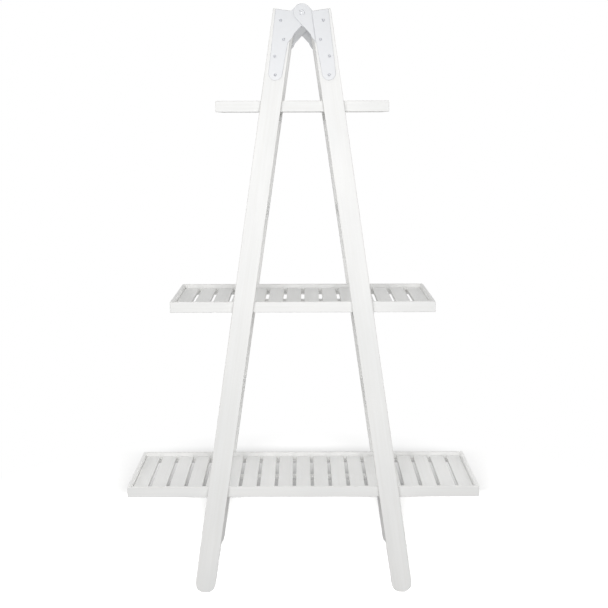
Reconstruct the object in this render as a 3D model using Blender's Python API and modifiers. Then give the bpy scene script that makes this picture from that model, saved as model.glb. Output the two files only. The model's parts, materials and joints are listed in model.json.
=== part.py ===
"""Folding A-frame ladder shelf: two side ladders on a top hinge, carrying three slatted trays.

Run with: blender --background --python part.py
Units are metres, +Z is up, -Y is the front. The origin is on the floor, midway between the feet.
Every part of a side ladder is laid out in that ladder's own frame: its origin is the hinge axis,
its Z runs along the legs and its X runs across them. One empty per ladder leans that frame.
"""
from math import acos, asin, atan2, cos, hypot, pi, radians, sin, tan

import bmesh
import bpy
from mathutils import Matrix, Vector

# Overall frame
HEIGHT = 1.750
DEPTH = 0.400
LEAN = radians(8.2)
GAP = 0.0003

# Legs
LEG_WIDTH = 0.060
LEG_THICKNESS = 0.024
LEG_TO_HINGE = 0.0523
FOOT_FLAT = 0.016
LEG_EDGE = 0.0018
FOOT_ARC_STEPS = 9

# Rungs, held in the legs by tenons
RUNG_THICKNESS = 0.018
RUNG_EDGE = 0.0020
TENON_SHOULDER = 0.0040
TENON_LENGTH = 0.0140

# Hinge leaves. A place on a leaf is its distance out from the hinge axis, then its height
LEAF_THICKNESS = 0.0030
EAR_RADIUS = 0.0245
EAR_TOP_CORNER = (0.0310, -0.0010)
LEAF_TOP_CORNER = (0.0755, -0.0010)
STRAP_CENTRE = 0.0512
STRAP_RADIUS = 0.0196
STRAP_END = -0.1800
ARM_TIP = (0.0135, -0.0620)
ARM_HEEL = (0.0170, -0.0740)
ARM_INNER_CORNER = (0.0280, -0.0900)
LEAF_CORNER_RADIUS = 0.0060
LEAF_TOP_RADIUS = 0.0020
ARM_INNER_RADIUS = 0.0100
JOGGLE_START = 0.0250
JOGGLE_END = 0.0290
SCREW_PLACES = ((0.0565, -0.0305), (0.0410, -0.0820), (0.0595, -0.1320), (0.0510, -0.1840))

# Hinge pins and screws
PIN_RADIUS = 0.0050
PIN_HEAD_RADIUS = 0.0080
PIN_HEAD_HEIGHT = 0.0022
PIN_DIMPLE_RADIUS = 0.0036
PIN_DIMPLE_DEPTH = 0.0012
SCREW_RADIUS = 0.0020
SCREW_LENGTH = 0.0180
SCREW_HEAD_RADIUS = 0.0040
SCREW_HEAD_HEIGHT = 0.0022
ROUND_STEPS = 16

# Trays: name, length, height of the underside, number of slats
TRAYS = (
    ("lower", 1.062, 0.292, 19),
    ("middle", 0.786, 0.858, 14),
    ("top", 0.502, 1.446, 9),
)
SPARE_RUNG_HEIGHTS = (0.586, 1.160)
TRAY_DEPTH = 0.350
RAIL_HEIGHT = 0.032
RAIL_THICKNESS = 0.010
RAIL_EDGE = 0.0015
SLAT_DROP = 0.012
SLAT_THICKNESS = 0.010
SLOT_WIDTH = 0.010
CLEAT_DEPTH = 0.015
BATTEN_WIDTH = 0.026
BATTEN_CLEARANCE = 0.030

# Worked out from the dimensions above
HINGE_HEIGHT = HEIGHT - EAR_RADIUS
LEG_FACE = DEPTH / 2
LEG_INNER_FACE = LEG_FACE - LEG_THICKNESS
FOOT_RADIUS = LEG_WIDTH / 2
FOOT_FLAT_ANGLE = asin(FOOT_FLAT / 2 / FOOT_RADIUS)
LEAF_STEP = LEAF_THICKNESS + GAP
SLAT_BOTTOM = RAIL_HEIGHT - SLAT_DROP - SLAT_THICKNESS
RUNG_HEIGHTS = sorted([height for _, _, height, _ in TRAYS] + list(SPARE_RUNG_HEIGHTS))


def ladder_height(world_height, outward):
    """Height in a ladder's frame of a point at a world height and a distance out from the hinge."""
    return (world_height - HINGE_HEIGHT - outward * sin(LEAN)) / cos(LEAN)


def ladder_outward(world_height):
    """World distance from the middle plane to the legs' centreline at a world height."""
    along = ladder_height(world_height, LEG_TO_HINGE)
    return LEG_TO_HINGE * cos(LEAN) - along * sin(LEAN)


def clear_scene():
    for item in list(bpy.data.objects):
        bpy.data.objects.remove(item, do_unlink=True)


def add_collection(name):
    collection = bpy.data.collections.new(name)
    bpy.context.scene.collection.children.link(collection)
    return collection


def add_material(name, colour, roughness, metallic):
    material = bpy.data.materials.new(name)
    material.use_nodes = True
    shader = material.node_tree.nodes["Principled BSDF"]
    shader.inputs["Base Color"].default_value = (*colour, 1.0)
    shader.inputs["Roughness"].default_value = roughness
    shader.inputs["Metallic"].default_value = metallic
    return material


def add_empty(name, location, rotation=(0, 0, 0)):
    empty = bpy.data.objects.new(name, None)
    empty.location = location
    empty.rotation_euler = rotation
    PARTS.objects.link(empty)
    return empty


def add_part(name, mesh, material, parent, location=(0, 0, 0), rotation=(0, 0, 0)):
    part = bpy.data.objects.new(name, mesh)
    part.parent = parent
    part.location = location
    part.rotation_euler = rotation
    part.data.materials.clear()
    part.data.materials.append(material)
    PARTS.objects.link(part)
    return part


def add_cutter(name, mesh, parent):
    cutter = bpy.data.objects.new(name, mesh)
    cutter.parent = parent
    cutter.hide_render = True
    cutter.display_type = "WIRE"
    CUTTERS.objects.link(cutter)
    return cutter


def cut(part, cutter):
    boolean = part.modifiers.new("cut", "BOOLEAN")
    boolean.operation = "DIFFERENCE"
    boolean.solver = "EXACT"
    boolean.object = cutter


def round_edges(part, width, segments=2):
    bevel = part.modifiers.new("edges", "BEVEL")
    bevel.width = width
    bevel.segments = segments
    bevel.limit_method = "ANGLE"
    bevel.angle_limit = radians(40)


def finish_mesh(name, shape):
    mesh = bpy.data.meshes.new(name)
    bmesh.ops.recalc_face_normals(shape, faces=shape.faces)
    shape.to_mesh(mesh)
    shape.free()
    return mesh


def add_box(shape, size, centre):
    placed = Matrix.Translation(centre) @ Matrix.Diagonal((*size, 1.0))
    return bmesh.ops.create_cube(shape, size=1.0, matrix=placed)["verts"]


def add_rod(shape, radius, start_y, end_y, across, up):
    """A cylinder along Y between two places."""
    turned = Matrix.Rotation(pi / 2, 4, "X")
    placed = Matrix.Translation((across, (start_y + end_y) / 2, up)) @ turned
    bmesh.ops.create_cone(shape, cap_ends=True, segments=ROUND_STEPS, radius1=radius, radius2=radius,
                          depth=abs(end_y - start_y), matrix=placed)


def box_mesh(name, size, centre=(0, 0, 0)):
    shape = bmesh.new()
    add_box(shape, size, centre)
    return finish_mesh(name, shape)


def arc(centre, radius, start, end, steps):
    """Points on an arc, with angles counted from +X towards +Z."""
    angles = [start + (end - start) * step / steps for step in range(steps + 1)]
    return [(centre[0] + radius * cos(angle), centre[1] + radius * sin(angle)) for angle in angles]


def rounded_corner(before, corner, after, radius, steps=3):
    """Points on the arc that rounds one corner of an outline."""
    corner = Vector(corner)
    back = (Vector(before) - corner).normalized()
    ahead = (Vector(after) - corner).normalized()
    half = back.angle(ahead) / 2
    centre = corner + (back + ahead).normalized() * radius / sin(half)
    first = corner + back * radius / tan(half) - centre
    last = corner + ahead * radius / tan(half) - centre
    start = atan2(first.y, first.x)
    turn = (atan2(last.y, last.x) - start + pi) % (2 * pi) - pi
    return arc(centre, radius, start, start + turn, steps)


def circle(centre, radius):
    return arc(centre, radius, 0, 2 * pi, ROUND_STEPS)[:-1]


def plate_mesh(name, outlines, thickness, centre_y):
    """A flat plate across Y: the first outline is its edge, and the others are holes through it."""
    curve = bpy.data.curves.new(name, "CURVE")
    curve.dimensions = "2D"
    curve.fill_mode = "BOTH"
    curve.extrude = thickness / 2
    for outline in outlines:
        spline = curve.splines.new("POLY")
        spline.points.add(len(outline) - 1)
        for point, (across, up) in zip(spline.points, outline):
            point.co = (across, up, 0, 1)
        spline.use_cyclic_u = True
    drawn = bpy.data.objects.new(name, curve)
    bpy.context.scene.collection.objects.link(drawn)
    mesh = bpy.data.meshes.new_from_object(drawn.evaluated_get(bpy.context.evaluated_depsgraph_get()))
    bpy.data.objects.remove(drawn)
    mesh.transform(Matrix.Translation((0, centre_y, 0)) @ Matrix.Rotation(pi / 2, 4, "X"))
    shape = bmesh.new()
    shape.from_mesh(mesh)
    bmesh.ops.remove_doubles(shape, verts=shape.verts, dist=1e-6)
    bpy.data.meshes.remove(mesh)
    return finish_mesh(name, shape)


def leg_outline(side):
    """A leg seen from the front: cut square at the top, and a round foot with a small floor flat."""
    foot = (side * LEG_TO_HINGE, ladder_height(FOOT_RADIUS * cos(FOOT_FLAT_ANGLE), LEG_TO_HINGE))
    down = -pi / 2 - side * LEAN
    left_arc = arc(foot, FOOT_RADIUS, -pi, down - FOOT_FLAT_ANGLE, FOOT_ARC_STEPS)
    right_arc = arc(foot, FOOT_RADIUS, down + FOOT_FLAT_ANGLE, 0, FOOT_ARC_STEPS)
    left_top = (foot[0] - LEG_WIDTH / 2, 0)
    right_top = (foot[0] + LEG_WIDTH / 2, 0)
    return [left_top] + left_arc + right_arc + [right_top]


def rung_middle(height):
    """A rung's height in its ladder's frame, with its outer top edge just under a world height."""
    top = ladder_height(height - GAP, LEG_TO_HINGE + LEG_WIDTH / 2)
    return top - RUNG_THICKNESS / 2


def leg_cutter_mesh(name, side, face):
    """Mortises for the rungs' tenons, and pilot holes for the hinge screws."""
    shape = bmesh.new()
    mortise_size = (LEG_WIDTH - 2 * TENON_SHOULDER + 2 * GAP, 2 * (TENON_LENGTH + GAP),
                    RUNG_THICKNESS - 2 * TENON_SHOULDER + 2 * GAP)
    for height in RUNG_HEIGHTS:
        add_box(shape, mortise_size, (side * LEG_TO_HINGE, face * LEG_INNER_FACE, rung_middle(height)))
    for outward, up in SCREW_PLACES:
        depth = LEG_FACE + LEAF_STEP - SCREW_LENGTH - GAP
        add_rod(shape, SCREW_RADIUS + GAP, face * depth, face * (LEG_FACE + LEAF_STEP), side * outward, up)
    return finish_mesh(name, shape)


def add_leg(name, side, face, ladder):
    centre_y = face * (LEG_FACE - LEG_THICKNESS / 2)
    mesh = plate_mesh(name, [leg_outline(side)], LEG_THICKNESS, centre_y)
    leg = add_part(name, mesh, PAINTED_WOOD, ladder)
    round_edges(leg, LEG_EDGE)
    cut(leg, add_cutter(name + "_cutter", leg_cutter_mesh(name + "_cutter", side, face), ladder))


def rung_mesh(name):
    """A flat rung with rounded long edges and a shouldered tenon at each end."""
    length = 2 * (LEG_INNER_FACE - GAP)
    shape = bmesh.new()
    add_box(shape, (LEG_WIDTH, length, RUNG_THICKNESS), (0, 0, 0))
    long_edges = [edge for edge in shape.edges if abs(edge.verts[0].co.y - edge.verts[1].co.y) > length / 2]
    for end in [face for face in shape.faces if abs(face.normal.y) > 0.9]:
        outward = Vector((0, TENON_LENGTH + GAP, 0)) * (1 if end.normal.y > 0 else -1)
        bmesh.ops.inset_region(shape, faces=[end], thickness=TENON_SHOULDER, use_even_offset=True)
        grown = bmesh.ops.extrude_discrete_faces(shape, faces=[end])["faces"][0]
        bmesh.ops.translate(shape, verts=grown.verts, vec=outward)
    bmesh.ops.bevel(shape, geom=long_edges, offset=RUNG_EDGE, segments=2, profile=0.5, affect="EDGES")
    return finish_mesh(name, shape)


def leaf_outline(side):
    """A hinge leaf: a round ear on the pin, an arm across the gap and a strap down the leg."""
    start = atan2(EAR_TOP_CORNER[1], EAR_TOP_CORNER[0])
    start += acos(EAR_RADIUS / hypot(*EAR_TOP_CORNER))
    end = atan2(ARM_TIP[1], ARM_TIP[0]) + 2 * pi
    end -= acos(EAR_RADIUS / hypot(*ARM_TIP))
    ear = arc((0, 0), EAR_RADIUS, start, end, 18)
    strap_inner = (STRAP_CENTRE - STRAP_RADIUS, STRAP_END)
    strap_outer = (STRAP_CENTRE + STRAP_RADIUS, STRAP_END)
    outline = list(ear)
    outline += rounded_corner(ear[-1], ARM_TIP, ARM_HEEL, LEAF_CORNER_RADIUS)
    outline += rounded_corner(ARM_TIP, ARM_HEEL, ARM_INNER_CORNER, LEAF_CORNER_RADIUS)
    outline += rounded_corner(ARM_HEEL, ARM_INNER_CORNER, strap_inner, ARM_INNER_RADIUS)
    outline += arc((STRAP_CENTRE, STRAP_END), STRAP_RADIUS, pi, 2 * pi, 14)
    outline += rounded_corner(strap_outer, LEAF_TOP_CORNER, EAR_TOP_CORNER, LEAF_TOP_RADIUS)
    outline += rounded_corner(LEAF_TOP_CORNER, EAR_TOP_CORNER, ear[0], LEAF_CORNER_RADIUS)
    return [(side * outward, up) for outward, up in outline]


def joggle(mesh, side, face):
    """Step the ear outwards, past the other leaf's ear, along two bends beside the leg's edge."""
    shape = bmesh.new()
    shape.from_mesh(mesh)
    for bend in (JOGGLE_START, JOGGLE_END):
        everything = list(shape.verts) + list(shape.edges) + list(shape.faces)
        bmesh.ops.bisect_plane(shape, geom=everything, dist=1e-7, plane_co=(side * bend, 0, 0),
                               plane_no=(1, 0, 0))
    for vertex in shape.verts:
        if side * vertex.co.x < JOGGLE_START + GAP:
            vertex.co.y += face * LEAF_STEP
    shape.to_mesh(mesh)
    shape.free()


def add_leaf(name, side, face, ladder, stepped):
    outlines = [leaf_outline(side), circle((0, 0), PIN_RADIUS + GAP)]
    outlines += [circle((side * outward, up), SCREW_RADIUS + GAP) for outward, up in SCREW_PLACES]
    centre_y = face * (LEG_FACE + GAP + LEAF_THICKNESS / 2)
    mesh = plate_mesh(name, outlines, LEAF_THICKNESS, centre_y)
    if stepped:
        joggle(mesh, side, face)
    add_part(name, mesh, HINGE_METAL, ladder)


def turned_part(name, profile, material, parent, location, face):
    """A round part turned about Y: its profile is (radius, distance outwards), outer end first."""
    shape = bmesh.new()
    points = [shape.verts.new((radius, 0, outwards)) for radius, outwards in profile]
    for first, second in zip(points, points[1:]):
        shape.edges.new((first, second))
    mesh = bpy.data.meshes.new(name)
    shape.to_mesh(mesh)
    shape.free()
    part = add_part(name, mesh, material, parent, location, (face * -pi / 2, 0, 0))
    screw = part.modifiers.new("turn", "SCREW")
    screw.axis = "Z"
    screw.angle = 2 * pi
    screw.steps = ROUND_STEPS
    screw.render_steps = ROUND_STEPS
    screw.use_merge_vertices = True
    screw.merge_threshold = 1e-6
    screw.use_smooth_shade = True


def add_screw(name, side, face, place, ladder):
    """A dome-headed wood screw. Distances run outwards from the leaf's outer face."""
    seat = GAP
    crown = seat + SCREW_HEAD_HEIGHT
    tip = seat - SCREW_LENGTH
    profile = (
        (0, crown),
        (SCREW_HEAD_RADIUS * 0.55, crown - SCREW_HEAD_HEIGHT * 0.12),
        (SCREW_HEAD_RADIUS * 0.88, crown - SCREW_HEAD_HEIGHT * 0.45),
        (SCREW_HEAD_RADIUS, seat),
        (SCREW_RADIUS, seat),
        (SCREW_RADIUS, tip + 2 * SCREW_RADIUS),
        (0, tip),
    )
    surface = face * (LEG_FACE + LEAF_STEP)
    turned_part(name, profile, SCREW_METAL, ladder, (side * place[0], surface, place[1]), face)


def add_pin(name, face, ladder):
    """A hinge pin with a dimpled head outside both ears and a closing head behind them."""
    front = 2 * LEAF_STEP + GAP
    crown = front + PIN_HEAD_HEIGHT
    back = 0.0
    heel = back - PIN_HEAD_HEIGHT
    profile = (
        (0, crown - PIN_DIMPLE_DEPTH),
        (PIN_DIMPLE_RADIUS * 0.7, crown - PIN_DIMPLE_DEPTH),
        (PIN_DIMPLE_RADIUS, crown),
        (PIN_HEAD_RADIUS * 0.8, crown),
        (PIN_HEAD_RADIUS, crown - PIN_HEAD_HEIGHT * 0.5),
        (PIN_HEAD_RADIUS, front),
        (PIN_RADIUS, front),
        (PIN_RADIUS, back),
        (PIN_HEAD_RADIUS, back),
        (PIN_HEAD_RADIUS, heel + PIN_HEAD_HEIGHT * 0.5),
        (PIN_HEAD_RADIUS * 0.8, heel),
        (0, heel),
    )
    turned_part(name, profile, PIN_METAL, ladder, (0, face * LEG_FACE, 0), face)


def add_ladder(label, side, stepped):
    """One side ladder. Its empty sits on the hinge axis and leans outwards towards the feet."""
    ladder = add_empty(label + "_ladder", (0, 0, HINGE_HEIGHT), (0, -side * LEAN, 0))
    for number, height in enumerate(RUNG_HEIGHTS, start=1):
        name = f"{label}_rung_{number}"
        place = (side * LEG_TO_HINGE, 0, rung_middle(height))
        add_part(name, rung_mesh(name), PAINTED_WOOD, ladder, place)
    for depth_label, face in (("front", -1), ("back", 1)):
        corner = f"{label}_{depth_label}"
        add_leg(corner + "_leg", side, face, ladder)
        add_leaf(corner + "_hinge_leaf", side, face, ladder, stepped)
        for number, place in enumerate(SCREW_PLACES, start=1):
            add_screw(f"{corner}_hinge_screw_{number}", side, face, place, ladder)
    return ladder


def deck_cutter_meshes(name, length, depth, slats):
    """Two meshes: the slots between the slats, and the open space under them between the cleats."""
    shape = bmesh.new()
    slat_width = (length - (slats - 1) * SLOT_WIDTH) / slats
    slot_depth = SLAT_THICKNESS + SLAT_DROP
    for number in range(1, slats):
        across = -length / 2 + number * (slat_width + SLOT_WIDTH) - SLOT_WIDTH / 2
        add_box(shape, (SLOT_WIDTH, 2 * depth, slot_depth), (across, 0, SLAT_BOTTOM + slot_depth / 2))
    slots = finish_mesh(name + "_slots", shape)
    hollow_size = (2 * length, depth - 2 * CLEAT_DEPTH, 2 * SLAT_BOTTOM)
    return slots, box_mesh(name + "_hollow", hollow_size)


def add_deck(name, length, slats, tray):
    """All the slats of a tray, held together by a cleat under each end of them."""
    deck_length = length - 2 * RAIL_THICKNESS - 2 * GAP
    deck_depth = TRAY_DEPTH - 2 * RAIL_THICKNESS - 2 * GAP
    top = SLAT_BOTTOM + SLAT_THICKNESS
    mesh = box_mesh(name, (deck_length, deck_depth, top - GAP), (0, 0, (top + GAP) / 2))
    deck = add_part(name, mesh, PAINTED_WOOD, tray)
    slots, hollow = deck_cutter_meshes(name, deck_length, deck_depth, slats)
    cut(deck, add_cutter(name + "_slot_cutter", slots, tray))
    cut(deck, add_cutter(name + "_hollow_cutter", hollow, tray))


def add_tray(label, length, height, slats):
    """A tray: two long rails, two end rails between them, the slats and a batten under them."""
    tray = add_empty(label + "_tray", (0, 0, height))
    rail_y = (TRAY_DEPTH - RAIL_THICKNESS) / 2
    for depth_label, face in (("front", -1), ("back", 1)):
        name = f"{label}_{depth_label}_rail"
        mesh = box_mesh(name, (length, RAIL_THICKNESS, RAIL_HEIGHT))
        rail = add_part(name, mesh, PAINTED_WOOD, tray, (0, face * rail_y, RAIL_HEIGHT / 2))
        round_edges(rail, RAIL_EDGE)
    end_depth = TRAY_DEPTH - 2 * RAIL_THICKNESS - 2 * GAP
    end_x = (length - RAIL_THICKNESS) / 2
    for end_label, side in (("left", -1), ("right", 1)):
        name = f"{label}_{end_label}_rail"
        mesh = box_mesh(name, (RAIL_THICKNESS, end_depth, RAIL_HEIGHT))
        rail = add_part(name, mesh, PAINTED_WOOD, tray, (side * end_x, 0, RAIL_HEIGHT / 2))
        round_edges(rail, RAIL_EDGE)
    add_deck(label + "_slat_deck", length, slats, tray)
    rung_inner = ladder_outward(height) - LEG_WIDTH / 2
    batten_size = (2 * (rung_inner - BATTEN_CLEARANCE), BATTEN_WIDTH, SLAT_BOTTOM - 2 * GAP)
    name = label + "_batten"
    add_part(name, box_mesh(name, batten_size), PAINTED_WOOD, tray, (0, 0, SLAT_BOTTOM / 2))


clear_scene()
PARTS = add_collection("ladder_shelf")
CUTTERS = add_collection("cutters")
PAINTED_WOOD = add_material("painted_wood", (0.86, 0.86, 0.84), 0.45, 0.0)
HINGE_METAL = add_material("hinge_metal", (0.80, 0.81, 0.82), 0.38, 0.2)
PIN_METAL = add_material("pin_metal", (0.72, 0.73, 0.74), 0.30, 0.7)
SCREW_METAL = add_material("screw_metal", (0.62, 0.63, 0.64), 0.35, 0.8)

left_ladder = add_ladder("left", -1, stepped=False)
right_ladder = add_ladder("right", 1, stepped=True)
add_pin("front_hinge_pin", -1, left_ladder)
add_pin("back_hinge_pin", 1, left_ladder)
for tray_label, tray_length, tray_height, tray_slats in TRAYS:
    add_tray(tray_label, tray_length, tray_height, tray_slats)
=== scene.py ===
"""Looks for the folding A-frame ladder shelf: painted boards, enamelled hinges, screws, light and camera."""
import json
from math import acos, asin, atan2, cos, hypot, pi, radians, sin, tan
from random import Random

import bmesh
import bpy
from mathutils import Euler, Matrix, Vector


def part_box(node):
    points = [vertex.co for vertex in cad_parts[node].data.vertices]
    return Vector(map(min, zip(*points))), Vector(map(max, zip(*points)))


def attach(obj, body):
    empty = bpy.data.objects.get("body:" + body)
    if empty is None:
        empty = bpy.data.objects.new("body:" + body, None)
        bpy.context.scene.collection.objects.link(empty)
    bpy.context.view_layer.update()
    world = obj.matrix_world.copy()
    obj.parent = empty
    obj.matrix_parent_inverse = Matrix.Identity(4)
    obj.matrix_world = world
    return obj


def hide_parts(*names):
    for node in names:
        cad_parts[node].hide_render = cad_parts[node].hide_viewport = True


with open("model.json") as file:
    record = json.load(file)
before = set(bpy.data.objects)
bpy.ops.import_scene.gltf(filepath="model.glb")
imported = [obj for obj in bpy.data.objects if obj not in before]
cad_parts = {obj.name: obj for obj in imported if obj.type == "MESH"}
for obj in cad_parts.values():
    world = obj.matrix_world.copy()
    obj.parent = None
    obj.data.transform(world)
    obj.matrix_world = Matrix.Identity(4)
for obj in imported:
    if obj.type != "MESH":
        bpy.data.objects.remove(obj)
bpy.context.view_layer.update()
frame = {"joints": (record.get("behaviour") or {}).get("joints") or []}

# Sizes shared with the frame, in metres
HINGE = Vector(next(joint for joint in frame["joints"] if joint["name"] == "fold")["pos_m"])
LEAN = radians(8.2)
GAP = 0.0003
LEG_WIDTH = 0.060
LEG_TO_HINGE = 0.0523
FOOT_FLAT = 0.016
RUNG_COUNT = 5
RUNG_THICKNESS = 0.018
TENON_LENGTH = 0.0143
LEAF_THICKNESS = 0.0030
SLOT_WIDTH = 0.010
SLAT_THICKNESS = 0.010
SLAT_SHIFT = 0.0003
SLAT_TRIM = (0.0002, 0.0008)
SLAT_NARROWING = 0.0006
CLEAT_DEPTH = 0.012
SLAT_COUNTS = {"lower": 19, "middle": 14, "top": 9}
SIDES = (("left", -1), ("right", 1))
DEPTHS = (("front", -1), ("back", 1))
LEG_FACE = 0.200
LEAF_STEP = LEAF_THICKNESS + GAP
EAR_RADIUS = 0.0245
EAR_TOP_CORNER = (0.0310, -0.0010)
LEAF_TOP_CORNER = (0.0755, -0.0010)
STRAP_CENTRE = 0.0512
STRAP_RADIUS = 0.0196
STRAP_END = -0.1800
ARM_TIP = (0.0135, -0.0620)
ARM_HEEL = (0.0170, -0.0740)
ARM_INNER_CORNER = (0.0280, -0.0900)
LEAF_CORNER_RADIUS = 0.0060
LEAF_TOP_RADIUS = 0.0020
ARM_INNER_RADIUS = 0.0100
JOGGLE_START = 0.0250
JOGGLE_END = 0.0290
JOGGLE_STEPS = 6
SCREW_PLACES = ((0.0565, -0.0305), (0.0410, -0.0820), (0.0595, -0.1320), (0.0510, -0.1840))
SCREW_RADIUS = 0.0020
SCREW_HEAD_RADIUS = 0.0040
SCREW_HEAD_HEIGHT = 0.0022
SHANK_LENGTH = 0.0140
SCREW_POINT = 0.0037
DOME_STEPS = 18
CROSS_REACH = 0.62
CROSS_DEPTH = 0.0011
CROSS_WIDTH = 0.0012
PIN_RADIUS = 0.0050
PIN_HEAD_RADIUS = 0.0080
PIN_HEAD_HEIGHT = 0.0022
# How far each kind of piece's edges are eased
LEG_EASE = 0.0019
RUNG_EASE = 0.0022
RAIL_EASE = 0.0016
SLAT_EASE = 0.0014
BATTEN_EASE = 0.0012
CLEAT_EASE = 0.0010
LEAF_EASE = 0.0007
RANDOM = Random(7)

# Fill lamps: name, place and power in watts
FILLS = (
    ("back_fill", (0.6, 3.8, 0.9), 52),
    ("left_fill", (-3.6, 0.9, 1.6), 32),
    ("right_fill", (3.6, 0.9, 1.6), 30),
)


# ---------------------------------------------------------------- materials

def new_material(name):
    material = bpy.data.materials.new(name)
    material.use_nodes = True
    return material, material.node_tree, material.node_tree.nodes["Principled BSDF"]


def add_node(tree, kind, **settings):
    node = tree.nodes.new(kind)
    for name, value in settings.items():
        setattr(node, name, value)
    return node


def noise_at(tree, coordinates, scale, detail=4.0, roughness=0.5):
    """Noise over object coordinates stretched by scale, a factor per axis in noise cells a metre."""
    mapping = add_node(tree, "ShaderNodeMapping")
    mapping.inputs["Scale"].default_value = scale
    tree.links.new(coordinates, mapping.inputs["Vector"])
    noise = add_node(tree, "ShaderNodeTexNoise")
    noise.inputs["Scale"].default_value = 1.0
    noise.inputs["Detail"].default_value = detail
    noise.inputs["Roughness"].default_value = roughness
    tree.links.new(mapping.outputs["Vector"], noise.inputs["Vector"])
    return noise.outputs["Fac"]


def remap(tree, value, low, high, to_low, to_high):
    node = add_node(tree, "ShaderNodeMapRange")
    node.inputs["From Min"].default_value = low
    node.inputs["From Max"].default_value = high
    node.inputs["To Min"].default_value = to_low
    node.inputs["To Max"].default_value = to_high
    tree.links.new(value, node.inputs["Value"])
    return node.outputs["Result"]


def blend_colours(tree, factor, first, second):
    node = add_node(tree, "ShaderNodeMix", data_type="RGBA")
    tree.links.new(factor, node.inputs["Factor"])
    for socket, colour in ((node.inputs[6], first), (node.inputs[7], second)):
        if isinstance(colour, tuple):
            socket.default_value = (*colour, 1.0)
        else:
            tree.links.new(colour, socket)
    return node.outputs[2]


def bump(tree, height, distance, strength, below=None):
    node = add_node(tree, "ShaderNodeBump")
    node.inputs["Distance"].default_value = distance
    node.inputs["Strength"].default_value = strength
    tree.links.new(height, node.inputs["Height"])
    if below is not None:
        tree.links.new(below, node.inputs["Normal"])
    return node.outputs["Normal"]


def edge_wear_and_shade(tree, place, strength):
    """A factor that is set along eased edges, broken up by noise: edge wear on painted wood, painted shade on
    hinge enamel.
    """
    mask = add_node(tree, "ShaderNodeAttribute", attribute_name="edge").outputs["Fac"]
    patches = remap(tree, noise_at(tree, place, (60.0, 60.0, 60.0), 5.0, 0.6), 0.35, 0.65, 0.25, 1.0)
    both = add_node(tree, "ShaderNodeMath", operation="MULTIPLY")
    tree.links.new(mask, both.inputs[0])
    tree.links.new(patches, both.inputs[1])
    return remap(tree, both.outputs["Value"], 0.0, 1.0, 0.0, strength)


def make_painted_wood():
    """Satin white paint over planed wood: brush strokes and grain run along each board's own X."""
    material, tree, shader = new_material("painted_wood")
    place = add_node(tree, "ShaderNodeTexCoord").outputs["Object"]
    board = add_node(tree, "ShaderNodeObjectInfo").outputs["Random"]
    moved = add_node(tree, "ShaderNodeVectorMath", operation="ADD")
    offset = add_node(tree, "ShaderNodeCombineXYZ")
    for socket in offset.inputs:
        tree.links.new(remap(tree, board, 0.0, 1.0, 0.0, 9.0), socket)
    tree.links.new(place, moved.inputs[0])
    tree.links.new(offset.outputs["Vector"], moved.inputs[1])
    place = moved.outputs["Vector"]
    cloud = noise_at(tree, place, (4.0, 14.0, 14.0), 3.0)
    grain = noise_at(tree, place, (2.2, 150.0, 150.0), 6.0, 0.65)
    figure = noise_at(tree, place, (1.2, 34.0, 34.0), 3.0, 0.55)
    strokes = noise_at(tree, place, (9.0, 800.0, 800.0), 2.0)
    dimples = noise_at(tree, place, (650.0, 650.0, 650.0), 2.0)
    patchy = remap(tree, cloud, 0.35, 0.65, 0.0, 1.0)
    paint = blend_colours(tree, patchy, (0.835, 0.838, 0.832), (0.880, 0.879, 0.870))
    shade = remap(tree, grain, 0.42, 0.72, 0.0, 0.30)
    paint = blend_colours(tree, shade, paint, (0.74, 0.73, 0.70))
    shade = remap(tree, figure, 0.50, 0.75, 0.0, 0.20)
    paint = blend_colours(tree, shade, paint, (0.76, 0.755, 0.735))
    tint = remap(tree, board, 0.0, 1.0, 0.0, 0.22)
    paint = blend_colours(tree, tint, paint, (0.80, 0.80, 0.785))
    paint = blend_colours(tree, edge_wear_and_shade(tree, place, 0.35), paint, (0.66, 0.64, 0.60))
    tree.links.new(paint, shader.inputs["Base Color"])
    tree.links.new(remap(tree, strokes, 0.3, 0.7, 0.38, 0.55), shader.inputs["Roughness"])
    normal = bump(tree, grain, 0.0012, 0.35)
    normal = bump(tree, strokes, 0.0004, 0.35, normal)
    normal = bump(tree, dimples, 0.0002, 0.20, normal)
    tree.links.new(normal, shader.inputs["Normal"])
    return material


def make_hinge_enamel():
    """White enamel sprayed on sheet steel: slightly cool, with an orange-peel surface and painted shade along
    its edges.
    """
    material, tree, shader = new_material("hinge_enamel")
    place = add_node(tree, "ShaderNodeTexCoord").outputs["Object"]
    cloud = noise_at(tree, place, (30.0, 30.0, 30.0), 3.0)
    peel = noise_at(tree, place, (700.0, 700.0, 700.0), 2.0)
    patchy = remap(tree, cloud, 0.3, 0.7, 0.0, 1.0)
    colour = blend_colours(tree, patchy, (0.725, 0.735, 0.755), (0.765, 0.775, 0.795))
    # Painted shade: the leaf's eased edges are painted dark grey to stand in for the shadow lines along its
    # outline.
    colour = blend_colours(tree, edge_wear_and_shade(tree, place, 0.80), colour, (0.36, 0.37, 0.39))
    tree.links.new(colour, shader.inputs["Base Color"])
    tree.links.new(remap(tree, cloud, 0.3, 0.7, 0.30, 0.42), shader.inputs["Roughness"])
    tree.links.new(bump(tree, peel, 0.0002, 0.30), shader.inputs["Normal"])
    return material


def make_plated_steel(name, colour, dark, roughness, metallic):
    """Zinc-plated steel, dulled unevenly and darker in patches."""
    material, tree, shader = new_material(name)
    place = add_node(tree, "ShaderNodeTexCoord").outputs["Object"]
    cloud = noise_at(tree, place, (350.0, 350.0, 350.0), 4.0)
    mixed = blend_colours(tree, remap(tree, cloud, 0.35, 0.65, 0.0, 1.0), dark, colour)
    tree.links.new(mixed, shader.inputs["Base Color"])
    tree.links.new(remap(tree, cloud, 0.3, 0.7, roughness, roughness + 0.18), shader.inputs["Roughness"])
    tree.links.new(bump(tree, cloud, 0.0001, 0.3), shader.inputs["Normal"])
    shader.inputs["Metallic"].default_value = metallic
    return material


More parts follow.
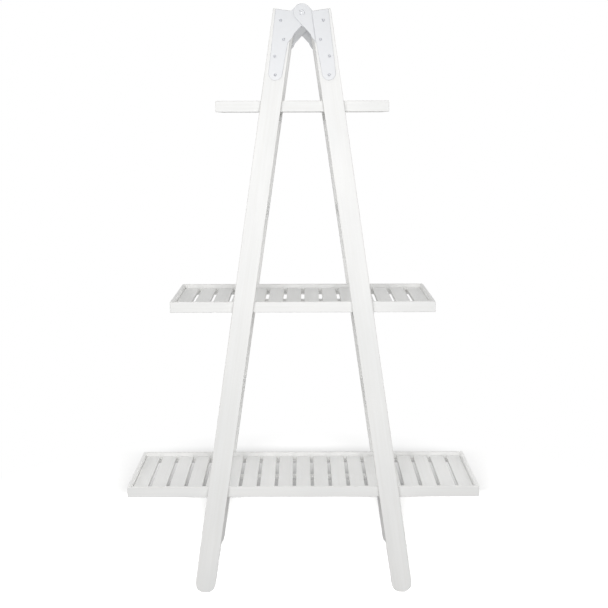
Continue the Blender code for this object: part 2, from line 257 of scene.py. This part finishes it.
PAINTED_WOOD = make_painted_wood()
HINGE_ENAMEL = make_hinge_enamel()
PIN_STEEL = make_plated_steel("pin_steel", (0.84, 0.85, 0.87), (0.70, 0.71, 0.73), 0.34, 0.35)
SCREW_STEEL = make_plated_steel("screw_steel", (0.70, 0.71, 0.74), (0.48, 0.49, 0.52), 0.38, 0.6)


# ---------------------------------------------------------------- shapes

def arc(centre, radius, start, end, steps):
    angles = [start + (end - start) * step / steps for step in range(steps + 1)]
    return [(centre[0] + radius * cos(angle), centre[1] + radius * sin(angle)) for angle in angles]


def rounded_corner(before, corner, after, radius, steps=10):
    """Points on the arc that rounds one corner of an outline."""
    corner = Vector(corner)
    back = (Vector(before) - corner).normalized()
    ahead = (Vector(after) - corner).normalized()
    half = back.angle(ahead) / 2
    centre = corner + (back + ahead).normalized() * radius / sin(half)
    first = corner + back * radius / tan(half) - centre
    last = corner + ahead * radius / tan(half) - centre
    start = atan2(first.y, first.x)
    turn = (atan2(last.y, last.x) - start + pi) % (2 * pi) - pi
    return arc(centre, radius, start, start + turn, steps)


def finish_mesh(name, shape):
    mesh = bpy.data.meshes.new(name)
    bmesh.ops.recalc_face_normals(shape, faces=shape.faces)
    shape.to_mesh(mesh)
    shape.free()
    return mesh


def plate_mesh(name, outlines, thickness):
    """A flat plate in XY, centred on Z: the first outline is its edge, and the others are holes."""
    curve = bpy.data.curves.new(name, "CURVE")
    curve.dimensions = "2D"
    curve.fill_mode = "BOTH"
    curve.extrude = thickness / 2
    for outline in outlines:
        spline = curve.splines.new("POLY")
        spline.points.add(len(outline) - 1)
        for point, (across, up) in zip(spline.points, outline):
            point.co = (across, up, 0, 1)
        spline.use_cyclic_u = True
    drawn = bpy.data.objects.new(name, curve)
    bpy.context.scene.collection.objects.link(drawn)
    mesh = bpy.data.meshes.new_from_object(drawn.evaluated_get(bpy.context.evaluated_depsgraph_get()))
    bpy.data.objects.remove(drawn)
    shape = bmesh.new()
    shape.from_mesh(mesh)
    bmesh.ops.remove_doubles(shape, verts=shape.verts, dist=1e-6)
    bmesh.ops.dissolve_limit(shape, angle_limit=radians(0.5), verts=shape.verts, edges=shape.edges)
    return finish_mesh(name, shape)


def ease_edges(mesh, width, segments):
    """Round a mesh's sharp edges, as sanding does, and mark the rounded faces in the edge attribute."""
    shape = bmesh.new()
    shape.from_mesh(mesh)
    edge_mask = shape.loops.layers.float.new("edge")
    sharp = [edge for edge in shape.edges if edge.is_manifold and edge.calc_face_angle() > radians(35)]
    made = bmesh.ops.bevel(shape, geom=sharp, offset=width, segments=segments, profile=0.5, affect="EDGES")
    for face in made["faces"]:
        for loop in face.loops:
            loop[edge_mask] = 1.0
    shape.to_mesh(mesh)
    shape.free()


def add_piece(name, mesh, material, body, node, matrix, edge=0.0, segments=3):
    """A shown piece: it rides on a body and stands for a CAD node. Its edges are eased by a width."""
    if edge:
        ease_edges(mesh, edge, segments)
    mesh.materials.clear()
    mesh.materials.append(material)
    mesh.shade_smooth()
    piece = bpy.data.objects.new(name, mesh)
    bpy.context.scene.collection.objects.link(piece)
    piece.matrix_world = matrix
    flats = piece.modifiers.new("flat faces stay flat", "WEIGHTED_NORMAL")
    flats.weight = 100
    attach(piece, body)
    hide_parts(node)
    return piece


def board_mesh(name, length, width, thickness):
    shape = bmesh.new()
    bmesh.ops.create_cube(shape, size=1.0, matrix=Matrix.Diagonal((length, width, thickness, 1.0)))
    return finish_mesh(name, shape)


def axes_matrix(centre, along, across):
    """A matrix that puts a board's X along one direction and its Y along another."""
    along = Vector(along).normalized()
    across = Vector(across).normalized()
    turned = Matrix((along, across, along.cross(across))).transposed().to_4x4()
    return Matrix.Translation(centre) @ turned


def box_centre_size(node):
    low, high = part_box(node)
    return (low + high) / 2, high - low


def ladder_matrix(side):
    """A ladder's own frame: origin on the hinge axis, Z up along the legs."""
    return Matrix.Translation(HINGE) @ Euler((0, -side * LEAN, 0)).to_matrix().to_4x4()


# ---------------------------------------------------------------- side ladders

def leg_outline(side, length):
    """A leg in board space, X along it and downwards. The foot has a small flat on the floor."""
    radius = LEG_WIDTH / 2
    flat = asin(FOOT_FLAT / 2 / radius)
    centre = (length, 0)
    lean = -side * LEAN
    first = arc(centre, radius, -pi / 2, lean - flat, 20)
    last = arc(centre, radius, lean + flat, pi / 2, 20)
    return [(0, -radius)] + first + last + [(0, radius)]


def add_leg(label, side, depth_label):
    node = f"{label}_{depth_label}_leg"
    centre, size = box_centre_size(node)
    foot_height = LEG_WIDTH / 2 * cos(asin(FOOT_FLAT / LEG_WIDTH))
    length = (HINGE.z - foot_height + LEG_TO_HINGE * sin(LEAN)) / cos(LEAN)
    mesh = plate_mesh(node + "_board", [leg_outline(side, length)], size.y)
    top = Vector((side * LEG_TO_HINGE, centre.y, 0))
    place = ladder_matrix(side) @ axes_matrix(top, (0, 0, -1), (1, 0, 0))
    body = label + "_ladder"
    add_piece(node + "_board", mesh, PAINTED_WOOD, body, node, place, LEG_EASE, 4)


def add_rung(label, side, number):
    node = f"{label}_rung_{number}"
    centre, size = box_centre_size(node)
    length = size.y - 2 * TENON_LENGTH
    place = Matrix.Translation(centre) @ Euler((0, -side * LEAN, 0)).to_matrix().to_4x4()
    place = place @ axes_matrix((0, 0, 0), (0, 1, 0), (-1, 0, 0))
    mesh = board_mesh(node + "_board", length, LEG_WIDTH, RUNG_THICKNESS)
    body = label + "_ladder"
    add_piece(node + "_board", mesh, PAINTED_WOOD, body, node, place, RUNG_EASE, 4)


for side_label, side_sign in SIDES:
    for rung_number in range(1, RUNG_COUNT + 1):
        add_rung(side_label, side_sign, rung_number)
    for depth_name, _ in DEPTHS:
        add_leg(side_label, side_sign, depth_name)


# ---------------------------------------------------------------- trays

def add_rail(tray, end):
    node = f"{tray}_{end}_rail"
    centre, size = box_centre_size(node)
    along = (1, 0, 0) if end in ("front", "back") else (0, 1, 0)
    across = (0, 1, 0) if end in ("front", "back") else (-1, 0, 0)
    length, width = (size.x, size.y) if end in ("front", "back") else (size.y, size.x)
    mesh = board_mesh(node + "_board", length, width, size.z)
    place = axes_matrix(centre, along, across)
    add_piece(node + "_board", mesh, PAINTED_WOOD, tray + "_tray", node, place, RAIL_EASE)


def add_slats(tray, count):
    """Separate slats over a cleat under each end of them, in place of the one-piece deck.

    Each slat is set and cut a little differently.
    """
    node = tray + "_slat_deck"
    centre, size = box_centre_size(node)
    low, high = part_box(node)
    width = (size.x - (count - 1) * SLOT_WIDTH) / count
    for number in range(count):
        across = low.x + width / 2 + number * (width + SLOT_WIDTH)
        drop = RANDOM.uniform(0, SLAT_SHIFT)
        trim = RANDOM.uniform(*SLAT_TRIM)
        across += RANDOM.uniform(-SLAT_SHIFT, SLAT_SHIFT)
        spot = (across, centre.y, high.z - SLAT_THICKNESS / 2 - drop)
        name = f"{tray}_slat_{number + 1}"
        mesh = board_mesh(name, size.y - trim, width - SLAT_NARROWING, SLAT_THICKNESS)
        place = axes_matrix(spot, (0, 1, 0), (-1, 0, 0))
        add_piece(name, mesh, PAINTED_WOOD, tray + "_tray", node, place, SLAT_EASE)
    for depth_label, face in DEPTHS:
        name = f"{tray}_{depth_label}_cleat"
        height = size.z - SLAT_THICKNESS - GAP
        spot = (centre.x, centre.y + face * (size.y - CLEAT_DEPTH) / 2, low.z + height / 2)
        mesh = board_mesh(name, size.x, CLEAT_DEPTH, height)
        place = axes_matrix(spot, (1, 0, 0), (0, 1, 0))
        add_piece(name, mesh, PAINTED_WOOD, tray + "_tray", node, place, CLEAT_EASE)


def add_batten(tray):
    node = tray + "_batten"
    centre, size = box_centre_size(node)
    mesh = board_mesh(node + "_board", *size)
    place = axes_matrix(centre, (1, 0, 0), (0, 1, 0))
    add_piece(node + "_board", mesh, PAINTED_WOOD, tray + "_tray", node, place, BATTEN_EASE)


for tray_name, slat_count in SLAT_COUNTS.items():
    for rail_end in ("front", "back", "left", "right"):
        add_rail(tray_name, rail_end)
    add_slats(tray_name, slat_count)
    add_batten(tray_name)


# ---------------------------------------------------------------- hinges

def leaf_outline(side):
    """A hinge leaf: a round ear on the pin, an arm across the gap and a strap down the leg."""
    start = atan2(EAR_TOP_CORNER[1], EAR_TOP_CORNER[0])
    start += acos(EAR_RADIUS / hypot(*EAR_TOP_CORNER))
    end = atan2(ARM_TIP[1], ARM_TIP[0]) + 2 * pi
    end -= acos(EAR_RADIUS / hypot(*ARM_TIP))
    ear = arc((0, 0), EAR_RADIUS, start, end, 40)
    strap_inner = (STRAP_CENTRE - STRAP_RADIUS, STRAP_END)
    strap_outer = (STRAP_CENTRE + STRAP_RADIUS, STRAP_END)
    outline = list(ear)
    outline += rounded_corner(ear[-1], ARM_TIP, ARM_HEEL, LEAF_CORNER_RADIUS)
    outline += rounded_corner(ARM_TIP, ARM_HEEL, ARM_INNER_CORNER, LEAF_CORNER_RADIUS)
    outline += rounded_corner(ARM_HEEL, ARM_INNER_CORNER, strap_inner, ARM_INNER_RADIUS)
    outline += arc((STRAP_CENTRE, STRAP_END), STRAP_RADIUS, pi, 2 * pi, 32)
    outline += rounded_corner(strap_outer, LEAF_TOP_CORNER, EAR_TOP_CORNER, LEAF_TOP_RADIUS)
    outline += rounded_corner(LEAF_TOP_CORNER, EAR_TOP_CORNER, ear[0], LEAF_CORNER_RADIUS)
    return [(side * outward, up) for outward, up in outline]


def joggle(mesh, side):
    """Step the ear outwards past the other leaf's ear, in a smooth double bend beside the leg's edge."""
    shape = bmesh.new()
    shape.from_mesh(mesh)
    for step in range(JOGGLE_STEPS + 1):
        bend = JOGGLE_START + (JOGGLE_END - JOGGLE_START) * step / JOGGLE_STEPS
        everything = list(shape.verts) + list(shape.edges) + list(shape.faces)
        bmesh.ops.bisect_plane(shape, geom=everything, dist=1e-7, plane_co=(side * bend, 0, 0),
                               plane_no=(1, 0, 0))
    for vertex in shape.verts:
        part = (JOGGLE_END - side * vertex.co.x) / (JOGGLE_END - JOGGLE_START)
        part = min(max(part, 0.0), 1.0)
        vertex.co.z += LEAF_STEP * part * part * (3 - 2 * part)
    shape.to_mesh(mesh)
    shape.free()


def face_matrix(side, face, surface):
    """Seen from outside, a flat drawing's X runs right, its Y up and its Z out of the shelf."""
    turned = Matrix(((-face, 0, 0), (0, 0, face), (0, 1, 0)))
    return ladder_matrix(side) @ Matrix.Translation((0, surface, 0)) @ turned.to_4x4()


def add_leaf(label, side, depth_label, face):
    node = f"{label}_{depth_label}_hinge_leaf"
    drawn_side = -face * side
    holes = [arc((0, 0), PIN_RADIUS + GAP, 0, 2 * pi, 40)[:-1]]
    for outward, up in SCREW_PLACES:
        holes.append(arc((drawn_side * outward, up), SCREW_RADIUS + GAP, 0, 2 * pi, 20)[:-1])
    mesh = plate_mesh(node + "_plate", [leaf_outline(drawn_side)] + holes, LEAF_THICKNESS)
    if side > 0:
        joggle(mesh, drawn_side)
    middle = face * (LEG_FACE + GAP + LEAF_THICKNESS / 2)
    place = face_matrix(side, face, middle)
    add_piece(node + "_plate", mesh, HINGE_ENAMEL, label + "_ladder", node, place, LEAF_EASE)


def turned_mesh(name, profile, steps):
    """A round part turned about Z from a profile of (radius, height) points, top first."""
    shape = bmesh.new()
    rings = []
    for radius, height in profile:
        if radius < 1e-6:
            rings.append([shape.verts.new((0, 0, height))])
            continue
        angles = [2 * pi * step / steps for step in range(steps)]
        rings.append([shape.verts.new((radius * cos(t), radius * sin(t), height)) for t in angles])
    for upper, lower in zip(rings, rings[1:]):
        for step in range(steps):
            following = (step + 1) % steps
            corners = [upper[step % len(upper)], upper[following % len(upper)],
                       lower[following % len(lower)], lower[step % len(lower)]]
            shape.faces.new(list(dict.fromkeys(corners)))
    return finish_mesh(name, shape)


def cross_recess(shape, radius, depth, width, top):
    """Sink a Phillips cross into a screw's crown: the grid's points in the cross go down."""
    for vertex in shape.verts:
        across, along, height = vertex.co
        if height < top - depth:
            continue
        reach = hypot(across, along)
        in_arm = min(abs(across), abs(along)) < width / 2
        if in_arm and reach < radius:
            vertex.co.z -= depth * (1 - reach / radius * 0.55)


def add_screw(label, side, depth_label, face, number):
    """A dome-headed wood screw with a Phillips cross, turned to a chance angle."""
    node = f"{label}_{depth_label}_hinge_screw_{number}"
    crown = GAP + SCREW_HEAD_HEIGHT
    profile = [(0, crown)]
    for step in range(1, DOME_STEPS + 1):
        angle = pi / 2 * step / DOME_STEPS
        profile.append((SCREW_HEAD_RADIUS * sin(angle), GAP + SCREW_HEAD_HEIGHT * cos(angle) ** 0.8))
    profile += [(SCREW_HEAD_RADIUS * 0.97, GAP), (SCREW_RADIUS, GAP)]
    profile += [(SCREW_RADIUS, GAP - SHANK_LENGTH), (0, GAP - SHANK_LENGTH - SCREW_POINT)]
    mesh = turned_mesh(node + "_head", profile, 72)
    shape = bmesh.new()
    shape.from_mesh(mesh)
    cross_recess(shape, SCREW_HEAD_RADIUS * CROSS_REACH, CROSS_DEPTH, CROSS_WIDTH, crown)
    shape.to_mesh(mesh)
    shape.free()
    outward, up = SCREW_PLACES[number - 1]
    surface = face * (LEG_FACE + LEAF_STEP)
    spin = Matrix.Rotation(RANDOM.uniform(0, pi), 4, "Z")
    place = face_matrix(side, face, surface) @ Matrix.Translation((-face * side * outward, up, 0)) @ spin
    add_piece(node + "_head", mesh, SCREW_STEEL, label + "_ladder", node, place)


def add_pin(depth_label, face):
    """A hinge pin: a flat rim, a groove and a raised rivet end outside the ears, a flat head inside."""
    node = depth_label + "_hinge_pin"
    front = 2 * LEAF_STEP + GAP
    crown = front + PIN_HEAD_HEIGHT
    heel = -PIN_HEAD_HEIGHT
    rim = PIN_HEAD_RADIUS
    edge = rim * 0.985
    rivet_end = [(0, crown - 0.0001), (0.0022, crown - 0.0002), (0.0030, crown - 0.0005)]
    rivet_end += [(0.0034, crown - 0.0011), (0.0036, crown - 0.0016)]
    groove = [(0.0044, crown - 0.0016), (0.0047, crown - 0.0010), (0.0052, crown - 0.0003)]
    flat_rim = [(0.0058, crown - 0.0001), (0.0066, crown - 0.0002), (rim * 0.92, crown - 0.0006)]
    shank = [(edge, crown - 0.0013), (edge, front), (PIN_RADIUS, front), (PIN_RADIUS, 0)]
    inner_head = [(edge, 0), (edge, heel + 0.0012), (rim * 0.93, heel + 0.0005)]
    inner_head += [(rim * 0.8, heel + 0.0001), (0, heel)]
    profile = rivet_end + groove + flat_rim + shank + inner_head
    mesh = turned_mesh(node + "_rivet", profile, 64)
    place = face_matrix(-1, face, face * LEG_FACE)
    add_piece(node + "_rivet", mesh, PIN_STEEL, "left_ladder", node, place)


for side_label, side_sign in SIDES:
    for depth_name, face_sign in DEPTHS:
        add_leaf(side_label, side_sign, depth_name, face_sign)
        for screw_number in range(1, len(SCREW_PLACES) + 1):
            add_screw(side_label, side_sign, depth_name, face_sign, screw_number)
for depth_name, face_sign in DEPTHS:
    add_pin(depth_name, face_sign)


# ---------------------------------------------------------------- floor, light and camera

def make_floor():
    """A wide pale floor: near the shelf it takes shadows, and further away it turns plain white."""
    bpy.ops.mesh.primitive_circle_add(vertices=96, radius=60.0, fill_type="NGON")
    floor = bpy.context.object
    floor.name = "floor"
    material, tree, shader = new_material("pale_floor")
    place = add_node(tree, "ShaderNodeTexCoord").outputs["Object"]
    distance = add_node(tree, "ShaderNodeVectorMath", operation="LENGTH")
    tree.links.new(place, distance.inputs[0])
    far = remap(tree, distance.outputs["Value"], 0.90, 1.5, 0.0, 1.0)
    shader.inputs["Base Color"].default_value = (0.50, 0.50, 0.497, 1.0)
    shader.inputs["Roughness"].default_value = 0.9
    shader.inputs["Specular IOR Level"].default_value = 0.0
    white = add_node(tree, "ShaderNodeEmission")
    white.inputs["Strength"].default_value = 1.0
    mixed = add_node(tree, "ShaderNodeMixShader")
    tree.links.new(far, mixed.inputs["Fac"])
    tree.links.new(shader.outputs["BSDF"], mixed.inputs[1])
    tree.links.new(white.outputs["Emission"], mixed.inputs[2])
    tree.links.new(mixed.outputs["Shader"], tree.nodes["Material Output"].inputs["Surface"])
    floor.data.materials.append(material)
    floor.visible_diffuse = False
    floor.visible_glossy = False
    return floor


def make_world():
    """A white studio: bright round the horizon, softer overhead and weak from below."""
    world = bpy.data.worlds.new("studio")
    bpy.context.scene.world = world
    world.use_nodes = True
    tree = world.node_tree
    background = tree.nodes["Background"]
    place = add_node(tree, "ShaderNodeTexCoord").outputs["Generated"]
    split = add_node(tree, "ShaderNodeSeparateXYZ")
    tree.links.new(place, split.inputs["Vector"])
    ramp = add_node(tree, "ShaderNodeValToRGB")
    height = remap(tree, split.outputs["Z"], -1.0, 1.0, 0.0, 1.0)
    tree.links.new(height, ramp.inputs["Fac"])
    stops = ((0.0, 0.30), (0.45, 0.36), (0.50, 0.42), (0.65, 0.50), (0.80, 0.68), (1.0, 0.76))
    while len(ramp.color_ramp.elements) < len(stops):
        ramp.color_ramp.elements.new(0.5)
    for element, (position, level) in zip(ramp.color_ramp.elements, stops):
        element.position = position
        element.color = (level, level, level, 1.0)
    tree.links.new(ramp.outputs["Color"], background.inputs["Color"])
    paper = add_node(tree, "ShaderNodeBackground")
    paper.inputs["Color"].default_value = (1.0, 1.0, 1.0, 1.0)
    seen = add_node(tree, "ShaderNodeLightPath").outputs["Is Camera Ray"]
    mixed = add_node(tree, "ShaderNodeMixShader")
    tree.links.new(seen, mixed.inputs["Fac"])
    tree.links.new(background.outputs["Background"], mixed.inputs[1])
    tree.links.new(paper.outputs["Background"], mixed.inputs[2])
    tree.links.new(mixed.outputs["Shader"], tree.nodes["World Output"].inputs["Surface"])


def add_area_light(name, place, target, width, height, power):
    light = bpy.data.lights.new(name, "AREA")
    light.shape = "RECTANGLE"
    light.size = width
    light.size_y = height
    light.energy = power
    lamp = bpy.data.objects.new(name, light)
    bpy.context.scene.collection.objects.link(lamp)
    lamp.location = place
    lamp.rotation_euler = (Vector(target) - Vector(place)).to_track_quat("-Z", "Y").to_euler()
    return lamp


def make_camera():
    data = bpy.data.cameras.new("camera")
    camera = bpy.data.objects.new("camera", data)
    bpy.context.scene.collection.objects.link(camera)
    data.sensor_width = 36.0
    data.lens = 64.19
    data.shift_y = -0.08
    camera.location = (0.0, -3.3336, 1.43)
    yaw = radians(-0.07)
    pitch = radians(-7.25)
    roll = Euler((0, 0, radians(-0.16))).to_matrix()
    camera.rotation_euler = (Euler((pi / 2 + pitch, 0, yaw)).to_matrix() @ roll).to_euler()
    bpy.context.scene.camera = camera


def choose_lit(lamp, item, state):
    """Let a lamp light one object only, or everything but it. Everything still casts shadows in its light."""
    lit = bpy.data.collections.new(lamp.name + "_lit")
    lit.objects.link(item)
    lit.collection_objects[0].light_linking.link_state = state
    lamp.light_linking.receiver_collection = lit


studio_floor = make_floor()
make_world()
add_area_light("key", (-0.1, -2.7, 1.24), (0, 0, 0.92), width=1.4, height=1.1, power=39.5)
floor_lamp = add_area_light("floor_lamp", (0, -3.35, 1.40), (0, 0.9, 0), width=0.9, height=0.12, power=1180)
choose_lit(floor_lamp, studio_floor, "INCLUDE")
for fill_name, fill_place, fill_power in FILLS:
    fill = add_area_light(fill_name, fill_place, (0, 0, 0.9), width=2.4, height=2.0, power=fill_power)
    fill.visible_glossy = False
    choose_lit(fill, studio_floor, "EXCLUDE")
make_camera()
bpy.context.scene.view_settings.view_transform = "Standard"
